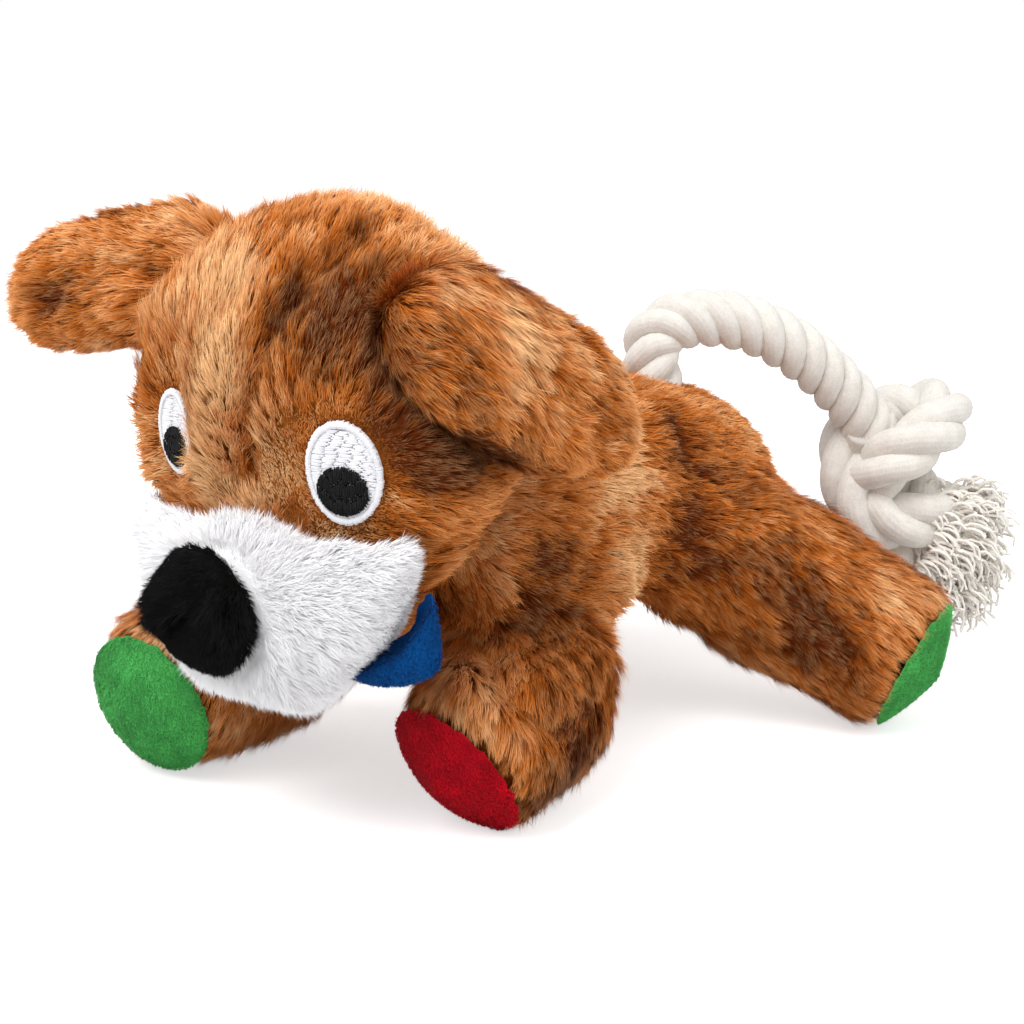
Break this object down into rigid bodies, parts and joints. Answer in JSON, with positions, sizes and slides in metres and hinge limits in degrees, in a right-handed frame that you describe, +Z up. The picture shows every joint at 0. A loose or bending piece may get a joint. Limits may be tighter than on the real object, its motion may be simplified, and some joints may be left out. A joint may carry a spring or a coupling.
{
  "type": "plush dog toy with rope tail",
  "caption": "Stuffed plush dog that lies on its belly and splayed legs, with nodding head, floppy ears, bending legs and a knotted cotton rope tail.",
  "frame": {"origin": "middle of the toy's length and width, without its rope tail, on the ground it lies on", "axes": "+Z up, -Y the way the dog faces, +X the dog's left"},
  "size_m": [0.2474, 0.3375, 0.1854],
  "materials": {
    "brown_plush": "long mottled pile",
    "white_plush": "short dense pile",
    "black_plush": "short dense pile",
    "blue_velour": "short nap",
    "red_velour": "short nap",
    "green_velour": "short nap",
    "white_thread": "satin stitch",
    "black_thread": "satin stitch",
    "cotton_rope": "soft twisted cotton",
    "cotton_yarn": "frayed wavy cotton yarn"
  },
  "bodies": {
    "torso": {"torso": "brown_plush", "tail_rope": "cotton_rope", "tail_knot": "cotton_rope", "tail_tassel": "cotton_yarn"},
    "head": {"head": "brown_plush", "muzzle": "white_plush", "nose": "black_plush", "tongue": "blue_velour", "eye_white_left": "white_thread", "pupil_left": "black_thread", "eye_white_right": "white_thread", "pupil_right": "black_thread"},
    "ear_left": {"ear_left": "brown_plush"},
    "ear_right": {"ear_right": "brown_plush"},
    "front_leg_left": {"front_leg_left": "brown_plush", "front_pad_left": "red_velour"},
    "front_leg_right": {"front_leg_right": "brown_plush", "front_pad_right": "green_velour"},
    "hind_leg_left": {"hind_leg_left": "brown_plush", "hind_pad_left": "green_velour"},
    "hind_leg_right": {"hind_leg_right": "brown_plush", "hind_pad_right": "red_velour"}
  },
  "joints": [
    {"name": "head_nod", "type": "hinge", "parent": "torso", "child": "head", "pos_m": [0.0052, -0.04183, 0.106], "axis": [-1, 0, 0], "range_deg": [0, 12], "stiffness_Nm_per_rad": 0.3},
    {"name": "ear_left_lift", "type": "hinge", "parent": "head", "child": "ear_left", "pos_m": [0.0562, -0.09883, 0.163], "axis": [0.3403, -0.4404, -0.8308], "range_deg": [0, 30], "stiffness_Nm_per_rad": 0.03},
    {"name": "ear_right_swing", "type": "hinge", "parent": "head", "child": "ear_right", "pos_m": [-0.0328, -0.07583, 0.16], "axis": [-0.0498, -0.3485, -0.936], "range_deg": [-20, 20], "stiffness_Nm_per_rad": 0.05},
    {"name": "front_leg_left_swing", "type": "hinge", "parent": "torso", "child": "front_leg_left", "pos_m": [0.0392, -0.02383, 0.062], "axis": [1, 0, 0], "range_deg": [0, 22], "stiffness_Nm_per_rad": 0.2},
    {"name": "front_leg_right_swing", "type": "hinge", "parent": "torso", "child": "front_leg_right", "pos_m": [-0.0288, -0.02383, 0.062], "axis": [1, 0, 0], "range_deg": [0, 22], "stiffness_Nm_per_rad": 0.2},
    {"name": "hind_leg_left_swing", "type": "hinge", "parent": "torso", "child": "hind_leg_left", "pos_m": [0.0372, 0.07617, 0.061], "axis": [0, 1, 0], "range_deg": [0, 20], "stiffness_Nm_per_rad": 0.2},
    {"name": "hind_leg_right_swing", "type": "hinge", "parent": "torso", "child": "hind_leg_right", "pos_m": [-0.0268, 0.07617, 0.061], "axis": [0, -1, 0], "range_deg": [0, 20], "stiffness_Nm_per_rad": 0.2}
  ]
}
